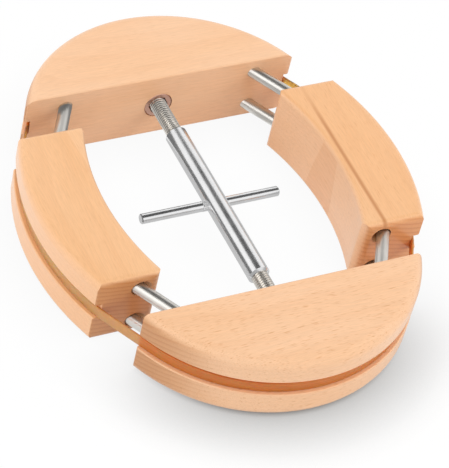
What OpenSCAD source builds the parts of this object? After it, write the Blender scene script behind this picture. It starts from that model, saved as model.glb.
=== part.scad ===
// Hat stretcher: two end blocks and two cheeks of beech that together fill the
// oval of a hat. A left-and-right-hand screw between the blocks drives them
// apart, and splayed steel pins carry the cheeks outward with them. An elastic
// band in the groove round the outside draws the four pieces together again.
//
// Millimetres, +Z up. The origin is on the table, under the middle of the
// screw. X runs from cheek to cheek and Y from block to block, along the screw.

/* [Wooden pieces] */
// Thickness of all four wooden pieces
thick = 36; // [32:0.5:44]
// Half the width of an end block's flat face
flat_half = 70; // [63:0.5:85]
// Depth of an end block, from its flat face to the crown of its arc
block_depth = 46; // [42:0.5:60]
// How far a cheek's corner lies inside a block's tip when the stretcher is closed
tip_step = 0; // [0:0.1:3]
// Half the length of a cheek between its two end faces
cheek_half = 47.3; // [44:0.1:62]
// How far a cheek's outer arc stands out beyond its ends
cheek_bulge = 9.4; // [7:0.1:15]
// Width of a cheek across its end faces
cheek_w = 32.3; // [28:0.1:40]
// How far a cheek's inner arc is hollowed behind its ends
cheek_hollow = 9; // [5:0.1:12]

/* [Rounded edges] */
// Radius along the outer edges of the end blocks
block_round = 5.5; // [2:0.25:7]
// Radius along the outer edges of the cheeks
cheek_round = 4; // [2:0.25:6]
// Radius along the inner edges of the cheeks
inner_round = 2.5; // [1:0.25:4]
// Radius along the top and bottom edges of the cheeks' end faces
end_round = 3; // [1:0.25:3.25]
// Radius along the top and bottom edges of the blocks' flat faces
flat_round = 0.8; // [0.4:0.1:1.5]
// Radius of the upright corners at the tips of the blocks
tip_round = 1.2; // [0.5:0.1:3]
// Radius of the upright outer corners of the cheeks
outer_corner = 0.8; // [0.6:0.1:3]
// Radius of the upright inner corners of the cheeks
inner_corner = 4; // [1:0.1:5]

/* [Groove and band] */
// Width of the groove round the outside
groove_h = 8; // [6:0.1:11]
// How far the groove lies above the middle of the wood
groove_lift = 1; // [0:0.1:2]
// Depth of the groove
groove_depth = 3.2; // [2.5:0.1:5]
// Bevel along both lips of the groove
groove_ease = 0.5; // [0.2:0.1:1]
// Thickness of the elastic band
band_t = 1.2; // [0.8:0.1:2.2]
// Width of the elastic band
band_h = 5.4; // [4:0.1:7]
// Room between the band and the bottom of the groove
band_gap = 0.15; // [0.1:0.05:0.4]
// Room between the band and the lower side of the groove
band_rest = 0.2; // [0.1:0.05:0.6]

/* [Guide pins] */
// Diameter of a guide pin
pin_d = 6; // [4:0.1:7]
// Angle between a pin and the screw, seen from above
pin_angle = 30; // [24:0.5:34]
// Distance from the tip of a block to a pin, along its flat face
pin_inset = 20.6; // [15:0.1:23]
// Height between the upper and the lower pin of a pair
pin_pitch = 20.5; // [17:0.1:22]
// Length of a pin inside its block
pin_embed = 28; // [18:0.5:32]
// Length of a pin inside its cheek, as drawn
pin_reach = 16; // [12:0.5:17]
// Bevel at the ends of a pin
pin_ease = 0.6; // [0.2:0.1:1]
// Room for glue round a pin in its block
pin_glue = 0.05; // [0.02:0.01:0.1]
// Diameter of the bore in a cheek that a pin slides in
slide_d = 8.5; // [8.1:0.1:9]
// How far the band draws a cheek in on its pins, within the play of the bore
slide_shift = 0.8; // [0:0.05:0.9]
// Depth of a slide bore left beyond the pin when the stretcher is closed
slide_spare = 1.4; // [0.8:0.1:2]

/* [Screw] */
// Diameter of the threaded studs over their crests
stud_d = 7.9; // [6:0.1:8.4]
// Length of a stud inside its block, as drawn
stud_reach = 16; // [14.5:0.5:18]
// Length of a stud inside the sleeve
stud_seat = 15; // [10:0.5:24]
// Bevel at the outer end of a stud
stud_ease = 0.8; // [0.3:0.1:1.2]
// Diameter of the turning sleeve
sleeve_d = 10.4; // [10:0.1:13]
// Half the length of the turning sleeve
sleeve_half = 47.2; // [40:0.1:47.2]
// Bevel at the ends of the sleeve
sleeve_ease = 1; // [0.4:0.1:1.1]
// Diameter of the cross bar
bar_d = 4.8; // [3.5:0.1:6]
// Reach of the cross bar to the left of the screw
bar_left = 38.5; // [24:0.1:42]
// Reach of the cross bar to the right of the screw
bar_right = 31.8; // [24:0.1:42]
// Bevel at the ends of the cross bar
bar_ease = 0.4; // [0.2:0.1:0.8]
// Room round a piece that is pressed in
press_room = 0.02; // [0.01:0.01:0.05]

/* [Threaded inserts] */
// Diameter of an insert's body
insert_d = 11; // [10.4:0.1:12.5]
// Length of an insert over all
insert_len = 14; // [10:0.5:14.5]
// Diameter of an insert's flange
flange_d = 14; // [13:0.1:17]
// Thickness of an insert's flange
flange_t = 1.6; // [1:0.1:2.5]
// Bevel round an insert's flange
flange_ease = 0.4; // [0.2:0.1:0.6]
// Width across flats of the hexagon that drives an insert home
hex_af = 8.8; // [8.6:0.1:9]
// Depth of that hexagon
hex_depth = 3.4; // [2:0.1:5]
// Room between an insert and its stud
screw_room = 0.06; // [0.03:0.01:0.1]
// Room round a flange in the wood
flange_room = 0.12; // [0.05:0.01:0.3]
// Diameter of the blind hole for a stud behind its insert
stud_hole_d = 9.2; // [8.8:0.1:10]
// Depth of that hole left beyond the stud when the stretcher is closed
stud_spare = 1.6; // [0.8:0.1:3]

/* [Position] */
// Distance from each block to the cheeks, as drawn
spread = 20.1; // [12:0.1:24]

/* [Hidden] */
$fn = 96;
mid_z = thick / 2;
groove_z = mid_z + groove_lift - groove_h / 2;
flat_y = cheek_half + spread;
cheek_out = spread * tan(pin_angle);
block_r = (pow(flat_half, 2) + pow(block_depth, 2)) / (2 * block_depth);
block_cy = flat_y + block_depth - block_r;
cheek_r = (pow(cheek_half, 2) + pow(cheek_bulge, 2)) / (2 * cheek_bulge);
cheek_end_x = cheek_out + flat_half - tip_step;
cheek_cx = cheek_end_x + cheek_bulge - cheek_r;
inner_r = (pow(cheek_half, 2) + pow(cheek_hollow, 2)) / (2 * cheek_hollow);
inner_end_x = cheek_end_x - cheek_w;
inner_cx = inner_end_x + cheek_hollow - inner_r;
pin_x = flat_half - pin_inset;
// run of a pin across the gap between block and cheek, along the pin
pin_run = spread / cos(pin_angle);
pin_low = mid_z - pin_pitch / 2;
pin_high = mid_z + pin_pitch / 2;
slide_deep = pin_reach + pin_run + slide_spare;
stud_hole_deep = stud_reach + spread + stud_spare;
band_z = groove_z + band_rest;
// the band leaves a cheek at its end face and runs straight until it meets the
// block's arc as a tangent
band_block_r = block_r - groove_depth + band_gap;
band_cheek_r = cheek_r - groove_depth + band_gap;
band_leave = asin(cheek_half / band_cheek_r);
band_exit = [cheek_cx + band_cheek_r * cos(band_leave), cheek_half - block_cy];
band_meet = atan2(band_exit[1], band_exit[0])
    + acos(min(1, band_block_r / norm(band_exit)));
past = 1;

wood = [0.93, 0.74, 0.53];
steel = [0.80, 0.81, 0.82];
nickel = [0.78, 0.76, 0.73];
zinc = [0.76, 0.68, 0.62];
latex = [0.80, 0.56, 0.27];

// Half section of a disc whose rim is rounded above and below
module rounded_rim(r, e) {
    square([r - e, thick]);
    translate([0, e]) square([r, thick - 2 * e]);
    for (z = [e, thick - e])
        translate([r - e, z]) circle(e);
}

// Half section of the groove that is turned into a rim, with bevelled lips
module groove_section(r) {
    polygon([
        [r - groove_depth, groove_z],
        [r - groove_ease, groove_z],
        [r + past, groove_z - groove_ease - past],
        [r + past, groove_z + groove_h + groove_ease + past],
        [r - groove_ease, groove_z + groove_h],
        [r - groove_depth, groove_z + groove_h]
    ]);
}

module grooved_disc(r, e) {
    rotate_extrude()
        difference() {
            rounded_rim(r, e);
            groove_section(r);
        }
}

// Waste outside the round-over of an edge along X: the wood lies at +Y and -Z
module edge_waste(len, e) {
    difference() {
        translate([-len / 2, -past, -e])
            cube([len, e + past, e + past]);
        translate([0, e, -e])
            rotate([0, 90, 0]) cylinder(r = e, h = len + 2 * past, center = true);
    }
}

// Round-over waste along the top and the bottom of a face that looks to -Y
module face_edges_waste(y, len, e) {
    translate([0, y, thick]) edge_waste(len, e);
    translate([0, y, 0]) mirror([0, 0, 1]) edge_waste(len, e);
}

// Waste outside the round-over of an upright corner: at is the middle of the
// round, and to_a and to_b run from it to the two faces that it meets
module corner_waste(at, to_a, to_b) {
    r = norm(to_a);
    far = (r + past) / r;
    tip = (to_a + to_b) / (1 + to_a * to_b / (r * r));
    translate([at[0], at[1], -past])
        linear_extrude(thick + 2 * past)
            difference() {
                polygon([[0, 0], far * to_a, far * tip, far * to_b]);
                circle(r);
            }
}

// Runs its children along a pin of the rear block: z follows the pin from the
// block's flat face towards the cheek, on the right with side 1
module along_pin(side, z) {
    translate([side * pin_x, flat_y, z])
        rotate([90, 0, side * pin_angle])
            children();
}

// Lays its children along the screw: z runs to the rear block
module along_screw() {
    translate([0, 0, mid_z]) rotate([-90, 0, 0]) children();
}

module end_block() {
    difference() {
        translate([0, block_cy, 0]) grooved_disc(block_r, block_round);
        translate([-block_r - past, flat_y - 2 * block_r, -past])
            cube([2 * (block_r + past), 2 * block_r, thick + 2 * past]);
        face_edges_waste(flat_y, 2 * (flat_half + past), flat_round);
        for (end = [0, 1])
            mirror([end, 0, 0]) tip_waste();
        for (side = [-1, 1], z = [pin_low, pin_high])
            along_pin(side, z)
                translate([0, 0, -pin_embed])
                    cylinder(d = pin_d + 2 * pin_glue, h = pin_embed + 2 * pin_d);
        along_screw() translate([0, 0, flat_y - past]) {
            cylinder(d = flange_d + 2 * flange_room, h = flange_t + past);
            cylinder(d = insert_d + 2 * press_room, h = insert_len + past);
            cylinder(d = stud_hole_d, h = stud_hole_deep + past);
        }
    }
}

// Round-over waste at the right tip of a block, between its flat face and arc
module tip_waste() {
    y = flat_y + tip_round;
    x = sqrt(pow(block_r - tip_round, 2) - pow(y - block_cy, 2));
    corner_waste([x, y], [0, -tip_round],
        tip_round * [x, y - block_cy] / (block_r - tip_round));
}

// The right cheek. Its outer rim is turned round one centre, its inner face
// round another, and pins from both blocks slide in bores at its ends.
module cheek() {
    difference() {
        intersection() {
            translate([cheek_cx, 0, 0]) grooved_disc(cheek_r, cheek_round);
            translate([inner_end_x - past, -cheek_half, -past])
                cube([cheek_w + cheek_bulge + 2 * past, 2 * cheek_half, thick + 2 * past]);
        }
        translate([inner_cx, 0, 0]) rotate_extrude() inner_waste_section();
        for (end = [0, 1])
            mirror([0, end, 0]) {
                translate([cheek_end_x - cheek_w / 2, 0, 0])
                    mirror([0, 1, 0])
                        face_edges_waste(-cheek_half, 2 * cheek_w, end_round);
                outer_corner_waste();
                inner_corner_waste();
                for (z = [pin_low, pin_high])
                    translate([-slide_shift, 0, 0])
                        along_pin(1, z)
                            translate([0, 0, pin_run - slide_d])
                                cylinder(d = slide_d, h = slide_d + slide_deep);
            }
    }
}

module outer_corner_waste() {
    y = cheek_half - outer_corner;
    x = sqrt(pow(cheek_r - outer_corner, 2) - pow(y, 2));
    corner_waste([cheek_cx + x, y], [0, outer_corner],
        outer_corner * [x, y] / (cheek_r - outer_corner));
}

module inner_corner_waste() {
    y = cheek_half - inner_corner;
    x = sqrt(pow(inner_r + inner_corner, 2) - pow(y, 2));
    corner_waste([inner_cx + x, y], [0, inner_corner],
        -inner_corner * [x, y] / (inner_r + inner_corner));
}

// Half section of what is turned out inside a cheek, flared at both edges
module inner_waste_section() {
    translate([0, -past]) square([inner_r, thick + 2 * past]);
    difference() {
        union() {
            translate([inner_r - past, -past])
                square([inner_round + past, inner_round + past]);
            translate([inner_r - past, thick - inner_round])
                square([inner_round + past, inner_round + past]);
        }
        for (z = [inner_round, thick - inner_round])
            translate([inner_r + inner_round, z]) circle(inner_round);
    }
}

// A round bar from 0 to len along z, bevelled at both ends
module bevelled_bar(d, len, low_ease, high_ease) {
    r = d / 2;
    rotate_extrude()
        polygon([
            [0, 0], [r - low_ease, 0], [r, low_ease],
            [r, len - high_ease], [r - high_ease, len], [0, len]
        ]);
}

module guide_pin(side, z) {
    color(nickel)
        along_pin(side, z)
            translate([0, 0, -pin_embed])
                bevelled_bar(pin_d, pin_embed + pin_run + pin_reach, pin_ease, pin_ease);
}

module insert() {
    color(zinc)
        along_screw() translate([0, 0, flat_y])
            difference() {
                union() {
                    bevelled_bar(flange_d, flange_t, flange_ease, flange_ease / 2);
                    bevelled_bar(insert_d, insert_len, flange_ease, flange_ease);
                }
                translate([0, 0, -past])
                    cylinder(d = stud_d + 2 * screw_room, h = insert_len + 2 * past);
                translate([0, 0, -past])
                    cylinder(d = hex_af / cos(30), h = hex_depth + past, $fn = 6);
            }
}

module stud() {
    color(steel)
        along_screw() translate([0, 0, sleeve_half - stud_seat])
            bevelled_bar(stud_d, stud_seat + flat_y - sleeve_half + stud_reach,
                stud_ease / 2, stud_ease);
}

// Turns what is drawn for the rear block or the right cheek to the other side
module opposite() {
    rotate([0, 0, 180]) children();
}

module rear_block() { color(wood) end_block(); }

module front_block() { color(wood) opposite() end_block(); }

module right_cheek() { color(wood) cheek(); }

module left_cheek() { color(wood) opposite() cheek(); }

module rear_right_pin_upper() { guide_pin(1, pin_high); }

module rear_right_pin_lower() { guide_pin(1, pin_low); }

module rear_left_pin_upper() { guide_pin(-1, pin_high); }

module rear_left_pin_lower() { guide_pin(-1, pin_low); }

module front_right_pin_upper() { opposite() guide_pin(-1, pin_high); }

module front_right_pin_lower() { opposite() guide_pin(-1, pin_low); }

module front_left_pin_upper() { opposite() guide_pin(1, pin_high); }

module front_left_pin_lower() { opposite() guide_pin(1, pin_low); }

module rear_insert() { insert(); }

module front_insert() { opposite() insert(); }

module rear_stud() { stud(); }

module front_stud() { opposite() stud(); }

module sleeve() {
    color(steel)
        difference() {
            along_screw() translate([0, 0, -sleeve_half])
                bevelled_bar(sleeve_d, 2 * sleeve_half, sleeve_ease, sleeve_ease);
            for (end = [0, 1])
                mirror([0, end, 0])
                    along_screw() translate([0, 0, sleeve_half - stud_seat])
                        cylinder(d = stud_d + 2 * press_room, h = stud_seat + past);
            translate([0, 0, mid_z]) rotate([0, 90, 0])
                cylinder(d = bar_d + 2 * press_room, h = 2 * sleeve_d, center = true);
        }
}

module tommy_bar() {
    color(steel)
        translate([-bar_left, 0, mid_z]) rotate([0, 90, 0])
            bevelled_bar(bar_d, bar_left + bar_right, bar_ease, bar_ease);
}

function arc(c, r, from, to, n) = [
    for (i = [0:n])
        let (a = from + (to - from) * i / n)
            [c[0] + r * cos(a), c[1] + r * sin(a)]
];

// Closed path of the band, out by a given amount from its inner face
function band_path(out) = concat(
    arc([cheek_cx, 0], band_cheek_r + out, -band_leave, band_leave, 16),
    arc([0, block_cy], band_block_r + out, band_meet, 180 - band_meet, 28),
    arc([-cheek_cx, 0], band_cheek_r + out, 180 - band_leave, 180 + band_leave, 16),
    arc([0, -block_cy], band_block_r + out, 180 + band_meet, 360 - band_meet, 28)
);

module elastic_band() {
    color(latex)
        translate([0, 0, band_z])
            linear_extrude(band_h)
                difference() {
                    polygon(band_path(band_t));
                    polygon(band_path(0));
                }
}

rear_block();
front_block();
left_cheek();
right_cheek();
rear_left_pin_upper();
rear_left_pin_lower();
rear_right_pin_upper();
rear_right_pin_lower();
front_left_pin_upper();
front_left_pin_lower();
front_right_pin_upper();
front_right_pin_lower();
rear_insert();
front_insert();
rear_stud();
front_stud();
sleeve();
tommy_bar();
elastic_band();
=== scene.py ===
"""Finishes, screw threads, elastic band and studio for the hat stretcher."""

import math

import bmesh
import bpy
from bpy.props import (
    FloatProperty,
    FloatVectorProperty,
    IntProperty,
    PointerProperty,
)
from mathutils import Matrix, Vector


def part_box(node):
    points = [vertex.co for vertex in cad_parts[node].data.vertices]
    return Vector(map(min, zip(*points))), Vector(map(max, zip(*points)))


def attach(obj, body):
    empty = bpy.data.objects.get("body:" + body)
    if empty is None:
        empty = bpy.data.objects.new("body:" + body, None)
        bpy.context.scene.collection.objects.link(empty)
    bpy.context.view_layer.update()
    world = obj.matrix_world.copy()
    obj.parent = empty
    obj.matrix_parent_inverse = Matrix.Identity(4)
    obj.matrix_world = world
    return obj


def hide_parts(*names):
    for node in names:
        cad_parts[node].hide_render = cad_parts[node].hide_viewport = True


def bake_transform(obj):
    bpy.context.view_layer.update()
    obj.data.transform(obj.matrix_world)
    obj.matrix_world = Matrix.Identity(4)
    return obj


bl_info = {
    "name": "Hat Stretcher Finish",
    "version": (1, 0, 0),
    "blender": (4, 5, 0),
    "location": "View3D > Sidebar > Hat Stretcher",
    "description": "Dresses the hat stretcher in beech, steel and latex",
    "category": "Object",
}

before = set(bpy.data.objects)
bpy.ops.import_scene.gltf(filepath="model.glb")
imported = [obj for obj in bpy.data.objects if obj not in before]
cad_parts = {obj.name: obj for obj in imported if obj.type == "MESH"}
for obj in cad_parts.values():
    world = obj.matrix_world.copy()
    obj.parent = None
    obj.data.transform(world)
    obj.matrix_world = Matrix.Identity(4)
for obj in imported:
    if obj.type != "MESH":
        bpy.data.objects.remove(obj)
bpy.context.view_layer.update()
MM = 0.001

UP = Vector((0, 0, 1))
PINS = tuple(
    f"{end}_{side}_pin_{level}"
    for end in ("rear", "front")
    for side in ("left", "right")
    for level in ("upper", "lower")
)
INSERTS = ("rear_insert", "front_insert")
SAME_PLACE = 1e-6

# The beech's figure: lengths along the grain and across it, in millimetres.
SWAY_SPACING = (85, 30, 30)
SWAY_REACH = (0, 7, 5)
FIBRE_SIZE = (9, 0.42, 0.42)
ZONE_SIZE = (75, 22, 22)
RING_LEAN = 0.2
# Small and large flecks: share of the spacing, width in millimetres, rarity and depth.
FLECKS = ((0.85, 0.5, 0.0, 0.7), (1.2, 0.75, 0.7, 0.9))
# Each board's place in the log in millimetres, how flecked it is, and a factor on its end grain's
# colour, which is partly the board's own tone and partly painted shade and light on its end faces.
BOARDS = {
    "rear_block": ((41, 17, 5), 0.3, 0.8),
    "front_block": ((171, -43, 14), 1.0, 0.8),
    "right_cheek": ((310, 20, 3), 0.5, 1.1),
    "left_cheek": ((480, -40, 8), 0.3, 0.88),
}

# Lamps: place and size in metres, and whether polished metal shows them.
LAMPS = {
    "top": ((0.05, 0.5, 1.15), 0.7, False),
    "left": ((-1.1, 0.05, 0.8), 1.15, True),
    "right": ((0.9, -0.6, 0.75), 0.8, False),
    "edge": ((-1.0, 0.8, 0.55), 0.4, False),
}
# Cards that the screw's polish shows in place of the wood: middle in millimetres,
# the way they face, width and height in millimetres, and grey.
CARDS = {
    "left_card": ((-50, 15, 20), (1, 0, 0), 120, 32, 0.18),
    "right_card": ((40, 15, 22), (-1, 0, 0), 120, 15, 0.45),
    "right_low_card": ((44, 15, 8), (-1, 0, 0), 120, 14, 0.62),
    "front_card": ((0, -63, 18), (0, 1, 0), 90, 32, 0.45),
    "rear_card": ((-12, 66.5, 18), (0, -1, 0), 88, 34, 0.2),
    "under_card": ((0, 0, 1), (0, 0, 1), 100, 120, 0.62),
}
TENT_MIDDLE = (0.05, 0.15, 1.0)
TENT_GREY = 0.09
FLOOR_RADIUS = 8.0


def colour_property(name, description, default):
    """A colour that a user can change, given without its alpha."""
    return FloatVectorProperty(
        name=name,
        description=description,
        subtype="COLOR",
        size=3,
        min=0,
        max=1,
        default=default,
    )


def length_property(name, description, default):
    """A length in metres that a user can change."""
    return FloatProperty(
        name=name,
        description=description,
        subtype="DISTANCE",
        unit="LENGTH",
        precision=5,
        default=default,
    )


def factor_property(name, description, default):
    """A share from 0 to 1 that a user can change."""
    return FloatProperty(
        name=name,
        description=description,
        subtype="FACTOR",
        min=0,
        max=1,
        default=default,
    )


def power_property(name, description, default):
    """The power of a lamp that a user can change."""
    return FloatProperty(
        name=name,
        description=description,
        subtype="POWER",
        unit="POWER",
        min=0,
        default=default,
    )


class BeechFinish(bpy.types.PropertyGroup):
    pale: colour_property(
        "Pale wood", "Early wood of the end blocks", (0.965, 0.60, 0.362)
    )
    warm: colour_property(
        "Warm wood", "Broad warmer zones along the grain", (0.95, 0.57, 0.325)
    )
    # Painted shade on the cheeks' tops, together with each cheek's own tone: these two multiply
    # only the faces that look up.
    left_top_tone_and_shade: colour_property(
        "Left tint", "Multiplies the wood on top of the left cheek", (1.0, 0.965, 0.865)
    )
    right_top_tone_and_shade: colour_property(
        "Right tint", "Multiplies the wood on top of the right cheek", (0.97, 0.89, 0.75)
    )
    late: colour_property(
        "Late wood", "Multiplies the wood in the darker part of a ring", (0.76, 0.56, 0.4)
    )
    fleck: colour_property(
        "Ray flecks", "Multiplies the wood in short dashes of the rays", (0.74, 0.56, 0.38)
    )
    end_tint: colour_property(
        "End grain tint", "Multiplies the wood where the grain ends", (0.79, 0.62, 0.44)
    )
    streak: colour_property(
        "Streak", "Caramel line in a glued strip", (0.62, 0.27, 0.10)
    )
    left_strip: colour_property(
        "Left strip", "Multiplies the outer strip of the left cheek", (0.975, 0.94, 0.89)
    )
    right_strip: colour_property(
        "Right strip", "Multiplies the outer strip of the right cheek", (0.95, 0.89, 0.83)
    )
    fleck_length: length_property(
        "Fleck spacing", "Distance between flecks along the grain", 6.0 * MM
    )
    ring_width: length_property(
        "Ring width", "Width of one year's growth", 2.6 * MM
    )


class SteelFinish(bpy.types.PropertyGroup):
    polished: colour_property(
        "Polished steel", "Sleeve and cross bar", (0.88, 0.88, 0.885)
    )
    rolled: colour_property("Thread steel", "Threaded studs", (0.95, 0.90, 0.83))
    nickel: colour_property("Pin nickel", "Guide pins", (0.71, 0.69, 0.65))
    # Painted reflection: the inserts' pink holds the wood that they reflect, on top of the plated
    # metal's own colour.
    zinc_and_wood_reflection: colour_property("Insert zinc", "Threaded inserts", (0.72, 0.42, 0.32))
    turning_pitch: length_property(
        "Turning marks", "Distance between fine marks round a bar", 0.35 * MM
    )
    polish_rough: factor_property("Polish", "Roughness of the sleeve and the bar", 0.17)
    pin_rough: factor_property("Pin roughness", "Roughness of the guide pins", 0.33)
    insert_rough: factor_property("Insert roughness", "Roughness of the inserts", 0.24)
    wear: factor_property("Wear", "Added roughness where metal is rubbed", 0.06)
    insert_wear: factor_property("Insert wear", "Added roughness on the inserts", 0.12)
    # Painted shade in the thread's roots.
    root_shade: factor_property("Root shade", "Brightness of a thread's root", 0.7)


class StudThread(bpy.types.PropertyGroup):
    pitch: length_property("Pitch", "Advance of the thread in one turn", 1.25 * MM)
    depth: length_property("Depth", "Height of the thread", 0.5 * MM)
    crest: length_property("Crest", "Flat width on top of the thread", 0.42 * MM)
    root: length_property("Root", "Flat width between two crests", 0.24 * MM)
    ease: length_property("Ease", "Bevel at the end of a stud", 0.8 * MM)
    steps: IntProperty(
        name="Steps", description="Segments in one turn", default=36, min=12
    )


class BarKnurl(bpy.types.PropertyGroup):
    width: length_property("Width", "Width of the knurled ring on the bar", 3.0 * MM)
    seat: length_property("Seat", "How far it reaches into the sleeve's round", 0.5 * MM)
    rise: length_property("Rise", "Height of its ground over the bar", 0.04 * MM)
    height: length_property("Height", "Height of its pyramids", 0.18 * MM)
    round: IntProperty(
        name="Round", description="Pyramids round the bar", default=24, min=8
    )
    along: IntProperty(
        name="Along", description="Rows of pyramids", default=4, min=2
    )


class BandShape(bpy.types.PropertyGroup):
    latex: colour_property("Latex", "Amber of the band", (0.88, 0.275, 0.045))
    # Partly the talc bloom on latex, partly painted light and sheen on the band's outside over the
    # cheeks and the gaps; in the blocks' grooves the band keeps its deeper amber, which stands in
    # for their shade.
    dust_and_light_colour: colour_property(
        "Dusty latex", "Outside of the band over the cheeks and the gaps", (0.77, 0.44, 0.17)
    )
    # Painted light: a brighter copy of the band's colour for the rear gaps, which with the higher
    # gap clearness stands in for light glowing through it from behind.
    through: colour_property(
        "Clear latex", "Colour of the band across a rear gap", (0.95, 0.58, 0.12)
    )
    clear: factor_property("Clearness", "Light that goes through the band", 0.3)
    backlit_clear: factor_property("Gap clearness", "The same across a rear gap", 0.9)
    thickness: length_property("Thickness", "Thickness of the band", 1.2 * MM)
    edge: length_property("Edge", "Radius of the band's edges", 0.35 * MM)
    block_arc: length_property(
        "Block arc", "Radius of the band's inner face on a block", 73.2109 * MM
    )
    block_centre: length_property(
        "Block centre", "Distance of that arc's centre from the middle", 37.1391 * MM
    )
    cheek_arc: length_property(
        "Cheek arc", "Radius of the band's inner face on a cheek", 120.6553 * MM
    )
    cheek_centre: length_property(
        "Cheek centre", "Place of the right cheek's arc centre", -32.7003 * MM
    )
    bend: length_property(
        "Bend", "Radius of the band's bend at a cheek's end", 3 * MM
    )
    slip: length_property(
        "Slip", "How far the band gives way inside a groove beside a gap", 9 * MM
    )


class Studio(bpy.types.PropertyGroup):
    turn: FloatProperty(
        name="Turn",
        description="Camera's way round the object from its front",
        subtype="ANGLE",
        default=math.radians(-35.1556),
    )
    rise: FloatProperty(
        name="Rise",
        description="Camera's height above the horizon",
        subtype="ANGLE",
        default=math.radians(44.9545),
    )
    roll: FloatProperty(
        name="Roll",
        description="Camera's turn about its own axis",
        subtype="ANGLE",
        default=math.radians(14.4049),
    )
    distance: length_property("Distance", "Camera to the point it looks at", 1.105012)
    target: FloatVectorProperty(
        name="Target",
        description="Point that the camera looks at",
        subtype="TRANSLATION",
        unit="LENGTH",
        default=(-0.003402, -0.017094, 0.016),
    )
    lens: FloatProperty(
        name="Lens", description="Focal length in millimetres", default=186.462
    )
    world_light: factor_property("Sky", "Strength of the even light all round", 0.785)
    top_light: power_property("Top", "Lamp overhead, a little to the rear", 0.5)
    left_light: power_property("Left", "Broad lamp on the left", 3.6)
    right_light: power_property("Right", "Lamp on the right, in front", 4.0)
    edge_light: power_property("Edge", "Lamp that draws the rounded edges", 1.3)
    shadow: colour_property(
        "Shadow", "Share of the floor's white that takes shadow", (0.13, 0.15, 0.15)
    )
    contact: length_property(
        "Contact", "Reach of the soft shade where the wood stands on the floor", 34 * MM
    )
    behind: factor_property("Behind", "Part of the shade left behind the front", 0.08)
    dark_top: length_property(
        "Dark top", "Radius of the dark opening over the light tent", 0.74
    )


class StretcherSettings(bpy.types.PropertyGroup):
    beech: PointerProperty(type=BeechFinish)
    steel: PointerProperty(type=SteelFinish)
    thread: PointerProperty(type=StudThread)
    knurl: PointerProperty(type=BarKnurl)
    band: PointerProperty(type=BandShape)
    studio: PointerProperty(type=Studio)


class Recipe:
    """One procedural material, put together node by node."""

    def __init__(self, name):
        self.material = bpy.data.materials.new(name)
        self.material.use_nodes = True
        self.tree = self.material.node_tree
        self.shader = self.tree.nodes["Principled BSDF"]
        place = self.add("ShaderNodeTexCoord")
        self.place = place.outputs["Object"]
        self.facing = place.outputs["Normal"]

    def add(self, kind, inputs=None, **settings):
        node = self.tree.nodes.new(kind)
        for key, value in settings.items():
            setattr(node, key, value)
        for key, value in (inputs or {}).items():
            self.feed(node.inputs[key], value)
        return node

    def feed(self, socket, value):
        if isinstance(value, bpy.types.NodeSocket):
            self.tree.links.new(value, socket)
        else:
            socket.default_value = value

    def set(self, **inputs):
        for name, value in inputs.items():
            self.feed(self.shader.inputs[name.replace("_", " ")], value)

    def colour(self):
        """The socket that gives the shader its colour so far."""
        return self.shader.inputs["Base Color"].links[0].from_socket

    def math(self, operation, *values):
        node = self.add("ShaderNodeMath", operation=operation)
        for socket, value in zip(node.inputs, values):
            self.feed(socket, value)
        return node.outputs[0]

    def axis(self, vector, name):
        return self.add("ShaderNodeSeparateXYZ", {"Vector": vector}).outputs[name]

    def mapped(self, vector, scale, turn=0.0, shift=(0, 0, 0)):
        return self.add(
            "ShaderNodeMapping",
            {
                "Vector": vector,
                "Scale": scale,
                "Rotation": (0, 0, turn),
                "Location": shift,
            },
        ).outputs[0]

    def moved(self, vector, other):
        node = self.add("ShaderNodeVectorMath", operation="ADD")
        self.feed(node.inputs[0], vector)
        self.feed(node.inputs[1], other)
        return node.outputs[0]

    def step(self, value, low, high, to_low=0.0, to_high=1.0):
        """A smooth step from to_low to to_high while value runs from low to high."""
        return self.add(
            "ShaderNodeMapRange",
            {
                "Value": value,
                "From Min": low,
                "From Max": high,
                "To Min": to_low,
                "To Max": to_high,
            },
            interpolation_type="SMOOTHSTEP",
        ).outputs[0]

    def noise(self, vector, detail=2.0, rough=0.5):
        return self.add(
            "ShaderNodeTexNoise",
            {"Vector": vector, "Scale": 1.0, "Detail": detail, "Roughness": rough},
        )

    def cells(self, vector):
        return self.add("ShaderNodeTexVoronoi", {"Vector": vector, "Scale": 1.0})

    def blend(self, factor, first, second, how="MIX"):
        node = self.add("ShaderNodeMix", data_type="RGBA", blend_type=how)
        for index, value in ((0, factor), (6, first), (7, second)):
            if isinstance(value, (tuple, list)) and len(value) == 3:
                value = (*value, 1.0)
            self.feed(node.inputs[index], value)
        return node.outputs[2]

    def grey(self, shade):
        """A grey from a number, to multiply a colour with."""
        return self.add("ShaderNodeCombineXYZ", {"X": shade, "Y": shade, "Z": shade}).outputs[0]

    def choose(self, factor, first, second):
        """Sends one of two shaders to the surface, the second where the factor is 1."""
        choice = self.add("ShaderNodeMixShader", {"Fac": factor})
        self.tree.links.new(first.outputs[0], choice.inputs[1])
        self.tree.links.new(second.outputs[0], choice.inputs[2])
        surface = self.tree.nodes["Material Output"].inputs["Surface"]
        self.tree.links.new(choice.outputs[0], surface)

    def bump(self, height, strength, distance):
        return self.add(
            "ShaderNodeBump",
            {"Height": height, "Strength": strength, "Distance": distance},
        ).outputs[0]


def per_length(lengths):
    """The scale of a pattern that repeats in about these lengths."""
    return tuple(1 / length for length in lengths)


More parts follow.
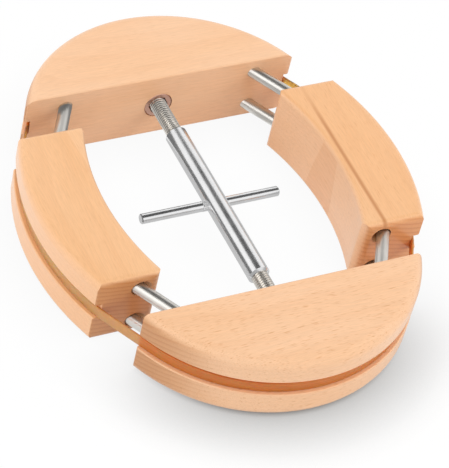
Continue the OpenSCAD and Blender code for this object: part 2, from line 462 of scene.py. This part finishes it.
def beech_recipe(node, finish, turn, tint=None):
    """Sanded beech with its grain along X after a turn about Z. The tint multiplies
    its upper faces: partly the board's own tone, partly painted shade on its top."""
    shift, flecky, end_tone_and_shading = BOARDS[node]
    r = Recipe(f"beech_{node}")
    board = r.mapped(r.place, per_length((MM, MM, MM)), turn, shift)
    sway = r.noise(r.mapped(board, per_length(SWAY_SPACING)), 1.0).outputs["Color"]
    back = tuple(-reach / 2 for reach in SWAY_REACH)
    grain = r.moved(board, r.mapped(sway, SWAY_REACH, shift=back))

    ring_mm = finish.ring_width / MM
    rings = r.math(
        "ADD",
        r.math("MULTIPLY", r.axis(grain, "Z"), 1 / ring_mm),
        r.math("MULTIPLY", r.axis(grain, "Y"), RING_LEAN / ring_mm),
    )
    late_wood = r.step(r.math("FRACT", rings), 0.4, 0.97)
    fibre = r.noise(r.mapped(grain, per_length(FIBRE_SIZE)), 3.0, 0.6).outputs[0]
    zone = r.noise(r.mapped(board, per_length(ZONE_SIZE)), 2.0).outputs[0]
    flecked = r.math("MULTIPLY", ray_flecks(r, grain, finish.fleck_length / MM), flecky)
    along = r.math("ABSOLUTE", r.axis(r.mapped(r.facing, (1, 1, 1), turn), "X"))
    end_grain = r.step(along, 0.5, 0.95)

    colour = r.blend(r.step(zone, 0.3, 0.7), tuple(finish.pale), tuple(finish.warm))
    # Painted shade, with the board's own tone: the tint darkens only the faces that look up.
    if tint:
        upper = r.step(r.axis(r.facing, "Z"), 0.4, 0.95)
        colour = r.blend(upper, colour, tuple(tint), "MULTIPLY")
    ring_depth = r.math("MULTIPLY_ADD", end_grain, 0.4, 0.07)
    late_wood = r.math("MULTIPLY", late_wood, ring_depth)
    colour = r.blend(late_wood, colour, tuple(finish.late), "MULTIPLY")
    tone = r.grey(r.step(fibre, 0.3, 0.7, to_low=0.945, to_high=1.03))
    colour = r.blend(1.0, colour, tone, "MULTIPLY")
    fleck_depth = r.step(end_grain, 0, 1, to_low=0.85, to_high=0.3)
    fleck_depth = r.math("MULTIPLY", flecked, fleck_depth)
    colour = r.blend(fleck_depth, colour, tuple(finish.fleck), "MULTIPLY")
    # Painted shade and light: each board's factor darkens or lightens its end faces beyond the end
    # grain's own colour.
    end_tint = tuple(end_tone_and_shading * c for c in finish.end_tint)
    colour = r.blend(end_grain, colour, end_tint, "MULTIPLY")

    height = r.math("SUBTRACT", fibre, r.math("MULTIPLY", flecked, 0.5))
    r.set(
        Base_Color=colour,
        Roughness=r.step(fibre, 0.3, 0.7, to_low=0.4, to_high=0.5),
        Normal=r.bump(height, strength=0.2, distance=0.05 * MM),
    )
    r.set(Specular_IOR_Level=0.3, Coat_Weight=0.5, Coat_Roughness=0.22)
    return r


def ray_flecks(r, grain, spacing):
    """Short dashes along the grain, from the cut ends of the wood's rays."""
    layers = []
    for share, width, rarity, depth in FLECKS:
        cells = r.cells(r.mapped(grain, per_length((spacing * share, width, width))))
        dash = r.step(cells.outputs["Distance"], 0.4, 0.1, to_high=depth)
        chance = r.step(r.axis(cells.outputs["Color"], "X"), rarity, 1.0)
        layers.append(r.math("MULTIPLY", dash, chance))
    return r.math("MAXIMUM", *layers)


def strip_joint(r, side, middle, lean, slant, low, high):
    """The joint of two strips that a cheek is glued up from: how far a point lies
    past its plane, in millimetres, and a mask that is 1 between two heights. The
    plane is given by its place in the middle of the wood, its lean and its slant."""
    bottom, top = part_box("left_cheek")
    middle_height = (bottom.z + top.z) / 2 / MM
    soft = 0.5
    x = r.math("MULTIPLY", r.axis(r.place, "X"), side / MM)
    y = r.math("MULTIPLY", r.axis(r.place, "Y"), 1 / MM)
    z = r.math("MULTIPLY", r.axis(r.place, "Z"), 1 / MM)
    plane = r.math("MULTIPLY_ADD", y, slant, middle)
    plane = r.math("MULTIPLY_ADD", r.math("SUBTRACT", z, middle_height), lean, plane)
    past = r.math("SUBTRACT", x, plane)
    over = r.step(z, low - soft, low + soft)
    under = r.step(z, high + soft, high - soft)
    return past, r.math("MULTIPLY", over, under)


def tint_outer_strip(r, joint, tint):
    """Gives the strip outside a joint a tone of its own, with a sharp line between."""
    past, here = joint
    outer = r.math("MULTIPLY", r.step(past, -0.04, 0.04), here)
    r.set(Base_Color=r.blend(outer, r.colour(), tuple(tint), "MULTIPLY"))


def steel_recipe(name, colour, axis, pitch, rough, wear):
    """Bright metal bar with fine turning marks round its axis."""
    r = Recipe(name)
    along = r.math("MULTIPLY", r.axis(r.place, axis), 1 / pitch)
    marks = r.add(
        "ShaderNodeTexNoise",
        {"W": along, "Scale": 1.0, "Detail": 3.0, "Roughness": 0.6},
        noise_dimensions="1D",
    ).outputs[0]
    smudge = r.noise(r.mapped(r.place, (160, 160, 160)), 3.0).outputs[0]
    rub = r.math("ADD", r.math("MULTIPLY", marks, 0.5), r.math("MULTIPLY", smudge, 0.5))
    tone = r.grey(r.step(smudge, 0.3, 0.75, to_low=0.93))
    r.set(
        Base_Color=r.blend(1.0, tuple(colour), tone, "MULTIPLY"),
        Roughness=r.step(rub, 0.3, 0.7, to_low=rough, to_high=rough + wear),
        Normal=r.bump(marks, strength=0.03, distance=0.01 * MM),
    )
    r.set(Metallic=1.0)
    return r.material


def thread_recipe(name, finish, thread, radius, height):
    """Rolled thread: bright crests over roots darkened with painted shade."""
    r = Recipe(name)
    x = r.axis(r.place, "X")
    z = r.math("SUBTRACT", r.axis(r.place, "Z"), height)
    square = r.math("ADD", r.math("MULTIPLY", x, x), r.math("MULTIPLY", z, z))
    crest_margin = 0.1 * MM
    crest = r.step(r.math("SQRT", square), radius - thread.depth, radius - crest_margin)
    smudge = r.noise(r.mapped(r.place, (300, 300, 300)), 3.0).outputs[0]
    bright = tuple(finish.rolled)
    # Painted shade: the roots take a darker copy of the crests' colour.
    dark = tuple(finish.root_shade * c for c in bright)
    rough = r.step(crest, 0, 1, to_low=0.42, to_high=0.2)
    smudged = r.step(smudge, 0.35, 0.7, to_high=0.08)
    r.set(
        Base_Color=r.blend(crest, dark, bright),
        Roughness=r.math("ADD", rough, smudged),
    )
    r.set(Metallic=1.0)
    return r.material


def latex_recipe(name, band, block_end, backlit_colour=None):
    """Latex strip with faint lines along it. Between the blocks its outside turns paler: partly
    talc bloom, partly painted light and sheen, while the deeper amber in the blocks' grooves
    stands in for their shade. With a colour for the gaps it is clearer and brighter there: a lit
    copy of the band, painted to glow with the light that comes through it."""
    r = Recipe(name)
    lines = r.noise(r.mapped(r.place, (30, 30, 2600)), 3.0, 0.6).outputs[0]
    bloom = r.noise(r.mapped(r.place, (120, 120, 240)), 4.0, 0.6).outputs[0]
    reach = r.math("ABSOLUTE", r.axis(r.place, "Y"))
    between = r.step(reach, block_end + MM, block_end - MM)
    colour = tuple(band.latex)
    # Painted light: across the gaps the band takes the brighter backlit colour.
    if backlit_colour:
        colour = r.blend(between, colour, tuple(backlit_colour))
    colour = r.blend(r.step(lines, 0.3, 0.7), colour, (0.8, 0.8, 0.8), "MULTIPLY")
    outward = r.add("ShaderNodeVectorMath", operation="DOT_PRODUCT")
    r.feed(outward.inputs[0], r.place)
    r.feed(outward.inputs[1], r.facing)
    outside = r.step(outward.outputs["Value"], 0.0, 20 * MM)
    patchy = r.step(bloom, 0.2, 0.8, to_low=0.75)
    # Real bloom and painted light: paler on the outward faces between the blocks, deep amber left
    # in the blocks' grooves for their shade.
    dust_and_light_mask = r.math("MULTIPLY", r.math("MULTIPLY", outside, between), patchy)
    r.set(
        Base_Color=r.blend(dust_and_light_mask, colour, tuple(band.dust_and_light_colour)),
        Roughness=r.step(bloom, 0.3, 0.8, to_low=0.36, to_high=0.6),
        Normal=r.bump(lines, strength=0.2, distance=0.04 * MM),
    )
    r.set(
        Subsurface_Weight=0.6,
        Subsurface_Radius=(1.0, 0.45, 0.08),
        Subsurface_Scale=2.0 * MM,
        Specular_IOR_Level=0.45,
        Transmission_Weight=band.clear,
    )
    # Painted light: the lit copy also lets more light through across the gaps.
    if backlit_colour:
        r.set(Transmission_Weight=r.step(between, 0, 1, band.clear, band.backlit_clear))
    return r.material


def dress(nodes, material):
    """Gives CAD nodes a finish in place of their plain one."""
    for name in nodes:
        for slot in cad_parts[name].material_slots:
            slot.material = material


def new_piece(name, mesh, material, smooth_angle=math.radians(35), closed=True):
    """An object at the origin from a finished bmesh, smooth except at sharp edges."""
    if closed:
        bmesh.ops.recalc_face_normals(mesh, faces=mesh.faces)
    for face in mesh.faces:
        face.smooth = True
    for edge in mesh.edges:
        edge.smooth = len(edge.link_faces) == 2 and edge.calc_face_angle(0) < smooth_angle
    data = bpy.data.meshes.new(name)
    mesh.to_mesh(data)
    mesh.free()
    data.materials.append(material)
    piece = bpy.data.objects.new(name, data)
    bpy.context.scene.collection.objects.link(piece)
    return piece


def threaded_bar(thread, radius, low, high, height, hand):
    """A bmesh of a threaded bar along Y from low to high, right-hand with hand 1,
    with the end at high eased. It is spun too long and then cut at both ends."""
    mesh = bmesh.new()
    spare_turns = 2
    flank = (thread.pitch - thread.crest - thread.root) / 2
    core = radius - thread.depth
    profile = (
        (0, core),
        (flank, radius),
        (thread.crest, radius),
        (flank, core),
        (thread.root, core),
    )
    start = low - spare_turns * thread.pitch
    y, corners = start, []
    for run, reach in profile:
        y += run
        corners.append(mesh.verts.new((reach, y, height)))
    edges = [mesh.edges.new(pair) for pair in zip(corners, corners[1:])]
    turns = math.ceil((high - low) / thread.pitch) + 2 * spare_turns
    bmesh.ops.spin(
        mesh,
        geom=corners + edges,
        cent=(0, start, height),
        axis=(0, 1, 0),
        dvec=(0, thread.pitch / thread.steps, 0),
        angle=hand * math.tau * turns,
        steps=turns * thread.steps,
        use_merge=False,
    )
    bmesh.ops.remove_doubles(mesh, verts=mesh.verts, dist=SAME_PLACE)
    for place, way in ((low, -1), (high, 1)):
        cut_flat(mesh, place, way)
    axis = Vector((0, 0, height))
    for vert in mesh.verts:
        beyond = thread.ease - (high - vert.co.y)
        arm = Vector((vert.co.x, 0, vert.co.z)) - axis
        if beyond > 0 and arm.length > radius - beyond:
            vert.co.xz = (axis + arm * ((radius - beyond) / arm.length)).xz
    return mesh


def cut_flat(mesh, place, way):
    """Cuts a bar along Y at a place, drops what lies the way given and closes the end."""
    bmesh.ops.bisect_plane(
        mesh,
        geom=mesh.verts[:] + mesh.edges[:] + mesh.faces[:],
        plane_co=(0, place, 0),
        plane_no=(0, way, 0),
        clear_outer=True,
    )
    rim = [
        edge
        for edge in mesh.edges
        if edge.is_boundary and all(abs(v.co.y - place) < SAME_PLACE for v in edge.verts)
    ]
    bmesh.ops.edgeloop_fill(mesh, edges=rim)


class STRETCHER_OT_wood(bpy.types.Operator):
    """Finish the end blocks and cheeks in sanded beech"""

    bl_idname = "stretcher.wood"
    bl_label = "Finish Wood"

    def execute(self, context):
        finish = context.scene.stretcher.beech
        for block in ("rear_block", "front_block"):
            dress([block], beech_recipe(block, finish, turn=0.0).material)
        quarter = math.radians(90)
        right = beech_recipe("right_cheek", finish, quarter, finish.right_top_tone_and_shade)
        self.patch(right, finish)
        self.streak(right, finish)
        dress(["right_cheek"], right.material)
        left = beech_recipe("left_cheek", finish, quarter, finish.left_top_tone_and_shade)
        joint = strip_joint(left, -1, middle=56.7, lean=0.0, slant=0.055, low=-9, high=60)
        tint_outer_strip(left, joint, finish.left_strip)
        dress(["left_cheek"], left.material)
        return {"FINISHED"}

    def patch(self, r, finish):
        """The outer strip shows through the middle of the hollow inner face."""
        joint = strip_joint(r, 1, middle=58.0, lean=0.0115, slant=-0.028, low=-9, high=33.2)
        tint_outer_strip(r, joint, finish.right_strip)

    def streak(self, r, finish):
        """A caramel line along the top, faint towards the rear."""
        past, here = strip_joint(r, 1, middle=61.5, lean=0.0, slant=0.018, low=33.0, high=60)
        line = r.math("MULTIPLY", r.step(past, -1.3, 0.1), r.step(past, 2.0, 0.3))
        y = r.math("MULTIPLY", r.axis(r.place, "Y"), 1 / MM)
        strength = r.math("MULTIPLY", r.step(y, 44, 14, to_low=0.2), here)
        shown = r.math("MULTIPLY", line, strength)
        r.set(Base_Color=r.blend(shown, r.colour(), tuple(finish.streak)))


class STRETCHER_OT_pins(bpy.types.Operator):
    """Finish the guide pins and the threaded inserts"""

    bl_idname = "stretcher.pins"
    bl_label = "Finish Pins and Inserts"

    def execute(self, context):
        steel = context.scene.stretcher.steel
        pitch = steel.turning_pitch
        nickel = steel_recipe("pin_nickel", steel.nickel, "Y", pitch, steel.pin_rough, steel.wear)
        dress(PINS, nickel)
        # The inserts' colour carries a painted reflection of the wood round them.
        zinc_and_wood_reflection = steel_recipe(
            "insert_zinc", steel.zinc_and_wood_reflection, "Z", pitch, steel.insert_rough, steel.insert_wear
        )
        dress(INSERTS, zinc_and_wood_reflection)
        return {"FINISHED"}


class STRETCHER_OT_screw(bpy.types.Operator):
    """Cut the threads of the studs and polish the sleeve and its cross bar"""

    bl_idname = "stretcher.screw"
    bl_label = "Make Screw"

    def execute(self, context):
        settings = context.scene.stretcher
        steel, thread = settings.steel, settings.thread
        polish = (steel.turning_pitch, steel.polish_rough, steel.wear)
        bar = steel_recipe("bar_steel", steel.polished, "X", *polish)
        dress(["tommy_bar"], bar)
        self.knurl(settings.knurl, bar)
        dress(["sleeve"], steel_recipe("sleeve_steel", steel.polished, "Y", *polish))
        low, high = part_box("rear_stud")
        radius, height = (high.x - low.x) / 2, (high.z + low.z) / 2
        finish = thread_recipe("stud_steel", steel, thread, radius, height)
        half_turn = Matrix.Rotation(math.pi, 4, UP)
        for node, hand in (("rear_stud", -1), ("front_stud", 1)):
            mesh = threaded_bar(thread, radius, low.y, high.y, height, hand)
            if node == "front_stud":
                bmesh.ops.transform(mesh, matrix=half_turn, verts=mesh.verts)
            piece = new_piece(f"{node}_thread", mesh, finish, math.radians(25))
            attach(piece, "turnbuckle")
            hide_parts(node)
        return {"FINISHED"}

    def knurl(self, knurl, finish):
        """A ring of small pyramids on the bar, where it is pressed into the sleeve."""
        low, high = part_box("tommy_bar")
        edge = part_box("sleeve")[0].x
        mesh = bmesh.new()
        ground = (high.z - low.z) / 2 + knurl.rise
        bmesh.ops.create_cone(
            mesh, segments=knurl.round, radius1=ground, radius2=ground, depth=knurl.width
        )
        lengthwise = [e for e in mesh.edges if abs(e.verts[0].co.z - e.verts[1].co.z) > SAME_PLACE]
        bmesh.ops.subdivide_edges(mesh, edges=lengthwise, cuts=knurl.along - 1)
        bmesh.ops.poke(mesh, faces=mesh.faces, offset=knurl.height)
        bmesh.ops.rotate(mesh, verts=mesh.verts, matrix=Matrix.Rotation(math.radians(90), 3, "Y"))
        place = (edge + knurl.seat - knurl.width / 2, 0, (high.z + low.z) / 2)
        bmesh.ops.translate(mesh, verts=mesh.verts, vec=place)
        piece = new_piece("bar_knurl", mesh, finish, math.radians(5))
        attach(piece, "turnbuckle")


def band_profile(mesh, band, low, high, reach, angle, centre):
    """The band's rounded section as a ring of edges, upright across an arc."""
    e, t = band.edge, band.thickness
    corners = ((e, low + e, 180), (t - e, low + e, 270), (t - e, high - e, 0), (e, high - e, 90))
    verts = []
    for out, z, first in corners:
        for turn in (0, 45, 90):
            a = math.radians(first + turn)
            r = reach + out + e * math.cos(a)
            verts.append(
                mesh.verts.new(
                    (
                        centre[0] + r * math.cos(angle),
                        centre[1] + r * math.sin(angle),
                        z + e * math.sin(a),
                    )
                )
            )
    return [mesh.edges.new(pair) for pair in zip(verts, verts[1:] + verts[:1])]


def swing(mesh, edges, centre, angle, steps):
    """Spins a ring of edges about an upright axis and returns the last ring."""
    made = bmesh.ops.spin(
        mesh,
        geom=edges,
        cent=(*centre, 0),
        axis=UP,
        angle=angle,
        steps=steps,
        use_merge=False,
    )
    return [g for g in made["geom_last"] if isinstance(g, bmesh.types.BMEdge)]


def draw_out(mesh, edges, way, steps):
    """Extrudes a ring of edges straight on and returns the last ring."""
    for _ in range(steps):
        made = bmesh.ops.extrude_edge_only(mesh, edges=edges)["geom"]
        edges = [g for g in made if isinstance(g, bmesh.types.BMEdge) and g.is_boundary]
        verts = {v for e in edges for v in e.verts}
        bmesh.ops.translate(mesh, verts=list(verts), vec=way / steps)
    return edges


def close_ends(mesh):
    """Closes the open ends of a band."""
    rim = [e for e in mesh.edges if e.is_boundary]
    bmesh.ops.holes_fill(mesh, edges=rim, sides=0)


class STRETCHER_OT_band(bpy.types.Operator):
    """Lay the elastic band in the grooves and across the four gaps"""

    bl_idname = "stretcher.band"
    bl_label = "Make Band"

    def execute(self, context):
        band = context.scene.stretcher.band
        cheek_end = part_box("right_cheek")[1].y
        block_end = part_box("rear_block")[0].y
        amber = latex_recipe("amber_latex", band, block_end)
        # Painted light: a brighter copy of the band, for the rear gaps.
        clear = latex_recipe("clear_latex", band, block_end, band.through)
        box_low, box_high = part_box("elastic_band")
        low, high = box_low.z, box_high.z
        cheek_c, block_c = (band.cheek_centre, 0.0), (0.0, band.block_centre)
        cheek_from = math.asin((cheek_end - band.slip) / band.cheek_arc)
        block_from = math.asin((block_end + band.slip - band.block_centre) / band.block_arc)
        leave = math.asin(cheek_end / band.cheek_arc)
        bend_reach = band.cheek_arc - band.bend
        bend_c = (
            band.cheek_centre + bend_reach * math.cos(leave),
            bend_reach * math.sin(leave),
        )
        apart = Vector(block_c) - Vector(bend_c)
        meet = math.atan2(apart.y, apart.x) % math.tau - math.acos(
            (band.bend - band.block_arc) / apart.length
        )
        tangent = Vector((-math.sin(meet), math.cos(meet), 0))
        run = tangent * apart.dot(tangent.xy)

        def span():
            mesh = bmesh.new()
            ring = band_profile(mesh, band, low, high, band.cheek_arc, cheek_from, cheek_c)
            ring = swing(mesh, ring, cheek_c, leave - cheek_from, steps=10)
            ring = swing(mesh, ring, bend_c, meet - leave, steps=4)
            ring = draw_out(mesh, ring, run, steps=16)
            swing(mesh, ring, block_c, block_from - meet, steps=6)
            close_ends(mesh)
            return mesh

        def arc(reach, centre, first, last, steps):
            mesh = bmesh.new()
            ring = band_profile(mesh, band, low, high, reach, first, centre)
            swing(mesh, ring, centre, last - first, steps)
            close_ends(mesh)
            return mesh

        def finished(name, mesh, turn, body=None, finish=amber):
            bmesh.ops.transform(mesh, matrix=turn, verts=mesh.verts)
            piece = new_piece(name, mesh, finish, math.radians(60))
            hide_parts("elastic_band")
            if body:
                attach(piece, body)
            return piece

        same, round_about = Matrix.Identity(4), Matrix.Rotation(math.pi, 4, UP)
        for body, turn in (("right_cheek", same), ("left_cheek", round_about)):
            mesh = arc(band.cheek_arc, cheek_c, -cheek_from, cheek_from, steps=40)
            finished(f"band_on_{body}", mesh, turn, body)
        for body, turn in (("rear_block", same), ("front_block", round_about)):
            mesh = arc(band.block_arc, block_c, block_from, math.pi - block_from, steps=64)
            finished(f"band_on_{body}", mesh, turn, body)

        flip_x = Matrix.Scale(-1, 4, (1, 0, 0))
        flip_y = Matrix.Scale(-1, 4, (0, 1, 0))
        for name, turn, cheek, block in (
            ("rear_right", same, "right_cheek", "rear_block"),
            ("front_right", flip_y, "right_cheek", "front_block"),
            ("rear_left", flip_x, "left_cheek", "rear_block"),
            ("front_left", round_about, "left_cheek", "front_left_pins"),
        ):
            # The rear gaps take the lit copy, painted to glow with light from behind; the front
            # gaps keep the plain amber.
            finish = clear if block == "rear_block" else amber
            piece = finished(f"band_across_{name}_gap", span(), turn, finish=finish)
            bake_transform(piece)
        return {"FINISHED"}


def plainly_seen(tree):
    """A socket that is 1 for the camera's rays and for those that polish or latex send on."""
    path = tree.nodes.new("ShaderNodeLightPath")
    seen = path.outputs["Is Camera Ray"]
    for name in ("Is Glossy Ray", "Is Transmission Ray"):
        either = tree.nodes.new("ShaderNodeMath")
        either.operation = "MAXIMUM"
        tree.links.new(seen, either.inputs[0])
        tree.links.new(path.outputs[name], either.inputs[1])
        seen = either.outputs[0]
    return seen


class STRETCHER_OT_studio(bpy.types.Operator):
    """Set the floor, the lamps, the surroundings and the camera"""

    bl_idname = "stretcher.studio"
    bl_label = "Set Studio"

    def execute(self, context):
        studio = context.scene.stretcher.studio
        scene = context.scene
        scene.view_settings.view_transform = "Standard"
        self.floor(studio)
        self.surroundings(scene, studio)
        self.dark_opening(studio)
        self.grey_cards()
        for name, (place, size, shiny) in LAMPS.items():
            self.lamp(name, place, size, getattr(studio, f"{name}_light"), shiny)
        self.camera(scene, studio)
        return {"FINISHED"}

    def floor(self, studio):
        """White paper that takes the object's shadow, and a soft shade in front of it."""
        mesh = bmesh.new()
        bmesh.ops.create_circle(mesh, cap_ends=True, radius=FLOOR_RADIUS, segments=64)
        r = Recipe("studio_floor")
        floor = new_piece("floor", mesh, r.material)
        r.set(Base_Color=(0.9, 0.9, 0.9, 1.0), Roughness=0.9, Specular_IOR_Level=0.1)
        cheek_end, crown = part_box("left_cheek")[0].y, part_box("front_block")[0].y
        ahead = r.step(r.axis(r.place, "Y"), cheek_end, crown, to_low=studio.behind)
        shared = r.blend(ahead, (0.0, 0.0, 0.0), tuple(studio.shadow))
        rest = r.blend(ahead, (1.0, 1.0, 1.0), tuple(1 - c for c in studio.shadow))
        hidden = r.add("ShaderNodeAmbientOcclusion", {"Distance": studio.contact}, samples=16)
        shade = r.blend(ahead, (1.0, 1.0, 1.0), hidden.outputs["Color"])
        paper = r.add("ShaderNodeBsdfDiffuse", {"Color": shared})
        shaded = r.blend(1.0, rest, shade, "MULTIPLY")
        white = r.add("ShaderNodeEmission", {"Color": shaded, "Strength": 1.0})
        both = r.add("ShaderNodeAddShader")
        r.feed(both.inputs[0], paper.outputs[0])
        r.feed(both.inputs[1], white.outputs[0])
        r.choose(plainly_seen(r.tree), r.shader, both)

    def surroundings(self, scene, studio):
        """Even light all round, which the camera and the polish see as white."""
        world = bpy.data.worlds.new("studio_white")
        scene.world = world
        world.use_nodes = True
        tree = world.node_tree
        light = tree.nodes["Background"]
        light.inputs["Color"].default_value = (1.0, 1.0, 1.0, 1.0)
        strength = tree.nodes.new("ShaderNodeMapRange")
        strength.inputs["To Min"].default_value = studio.world_light
        strength.inputs["To Max"].default_value = 1.0
        tree.links.new(plainly_seen(tree), strength.inputs["Value"])
        tree.links.new(strength.outputs[0], light.inputs["Strength"])

    def lamp(self, name, place, size, power, shiny):
        """A square lamp that points at the middle of the object's floor."""
        data = bpy.data.lights.new(f"{name}_lamp", "AREA")
        data.size = size
        data.energy = power
        lamp = bpy.data.objects.new(f"{name}_lamp", data)
        lamp.location = place
        lamp.rotation_euler = (-Vector(place)).to_track_quat("-Z", "Y").to_euler()
        lamp.visible_glossy = shiny
        bpy.context.scene.collection.objects.link(lamp)

    def dark_opening(self, studio):
        """A dark round overhead, which only the polished metal shows."""
        mesh = bmesh.new()
        bmesh.ops.create_circle(mesh, cap_ends=True, radius=studio.dark_top, segments=48)
        bmesh.ops.reverse_faces(mesh, faces=mesh.faces)
        bmesh.ops.translate(mesh, verts=mesh.verts, vec=TENT_MIDDLE)
        self.reflected("tent_opening", mesh, TENT_GREY)

    def grey_cards(self):
        """Cards round and under the screw, which keep the wood's colour out of its polish."""
        for name, (middle, facing, width, height, grey) in CARDS.items():
            mesh = bmesh.new()
            bmesh.ops.create_grid(mesh, size=0.5)
            bmesh.ops.scale(mesh, verts=mesh.verts, vec=(width * MM, height * MM, 1))
            turn = Vector(facing).to_track_quat("Z", "Y").to_matrix().to_4x4()
            place = Matrix.Translation(Vector(middle) * MM)
            bmesh.ops.transform(mesh, matrix=place @ turn, verts=mesh.verts)
            self.reflected(name, mesh, grey)

    def reflected(self, name, mesh, grey):
        """Puts up a grey card that shows in reflections alone, and only from its front."""
        r = Recipe(name)
        r.set(Base_Color=(0.0, 0.0, 0.0, 1.0), Roughness=1.0, Specular_IOR_Level=0.0)
        r.set(Emission_Color=(grey, grey, grey, 1.0), Emission_Strength=1.0)
        back = r.add("ShaderNodeNewGeometry").outputs["Backfacing"]
        r.choose(back, r.shader, r.add("ShaderNodeBsdfTransparent"))
        card = new_piece(name, mesh, r.material, closed=False)
        for ray in ("camera", "diffuse", "transmission", "volume_scatter", "shadow"):
            setattr(card, f"visible_{ray}", False)

    def camera(self, scene, studio):
        """The photograph's camera, turned and raised about the point it looks at."""
        a, e, roll = studio.turn, studio.rise, studio.roll
        back = Vector((math.sin(a) * math.cos(e), -math.cos(a) * math.cos(e), math.sin(e)))
        right = Vector((math.cos(a), math.sin(a), 0))
        up = back.cross(right)
        level = Matrix((right, up, back)).transposed().to_4x4()
        data = bpy.data.cameras.new("photo_camera")
        data.lens = studio.lens
        camera = bpy.data.objects.new("photo_camera", data)
        place = Vector(studio.target) + back * studio.distance
        camera.matrix_world = Matrix.Translation(place) @ level @ Matrix.Rotation(roll, 4, "Z")
        scene.collection.objects.link(camera)
        scene.camera = camera


class STRETCHER_PT_panel(bpy.types.Panel):
    """Lists the settings and the steps in the sidebar"""

    bl_idname = "STRETCHER_PT_panel"
    bl_label = "Hat Stretcher"
    bl_space_type = "VIEW_3D"
    bl_region_type = "UI"
    bl_category = "Hat Stretcher"

    def draw(self, context):
        settings = context.scene.stretcher
        for part in StretcherSettings.__annotations__:
            group, box = getattr(settings, part), self.layout.box()
            for name in group.__annotations__:
                box.prop(group, name)
        for operator in OPERATORS:
            self.layout.operator(operator.bl_idname)


GROUPS = (
    BeechFinish,
    SteelFinish,
    StudThread,
    BarKnurl,
    BandShape,
    Studio,
    StretcherSettings,
)
OPERATORS = (
    STRETCHER_OT_wood,
    STRETCHER_OT_pins,
    STRETCHER_OT_screw,
    STRETCHER_OT_band,
    STRETCHER_OT_studio,
)


def register():
    for cls in (*GROUPS, *OPERATORS, STRETCHER_PT_panel):
        bpy.utils.register_class(cls)
    bpy.types.Scene.stretcher = PointerProperty(type=StretcherSettings)


def unregister():
    del bpy.types.Scene.stretcher
    for cls in reversed((*GROUPS, *OPERATORS, STRETCHER_PT_panel)):
        bpy.utils.unregister_class(cls)


def main():
    register()
    bpy.ops.stretcher.wood()
    bpy.ops.stretcher.pins()
    bpy.ops.stretcher.screw()
    bpy.ops.stretcher.band()
    bpy.ops.stretcher.studio()


if __name__ == "__main__":
    main()
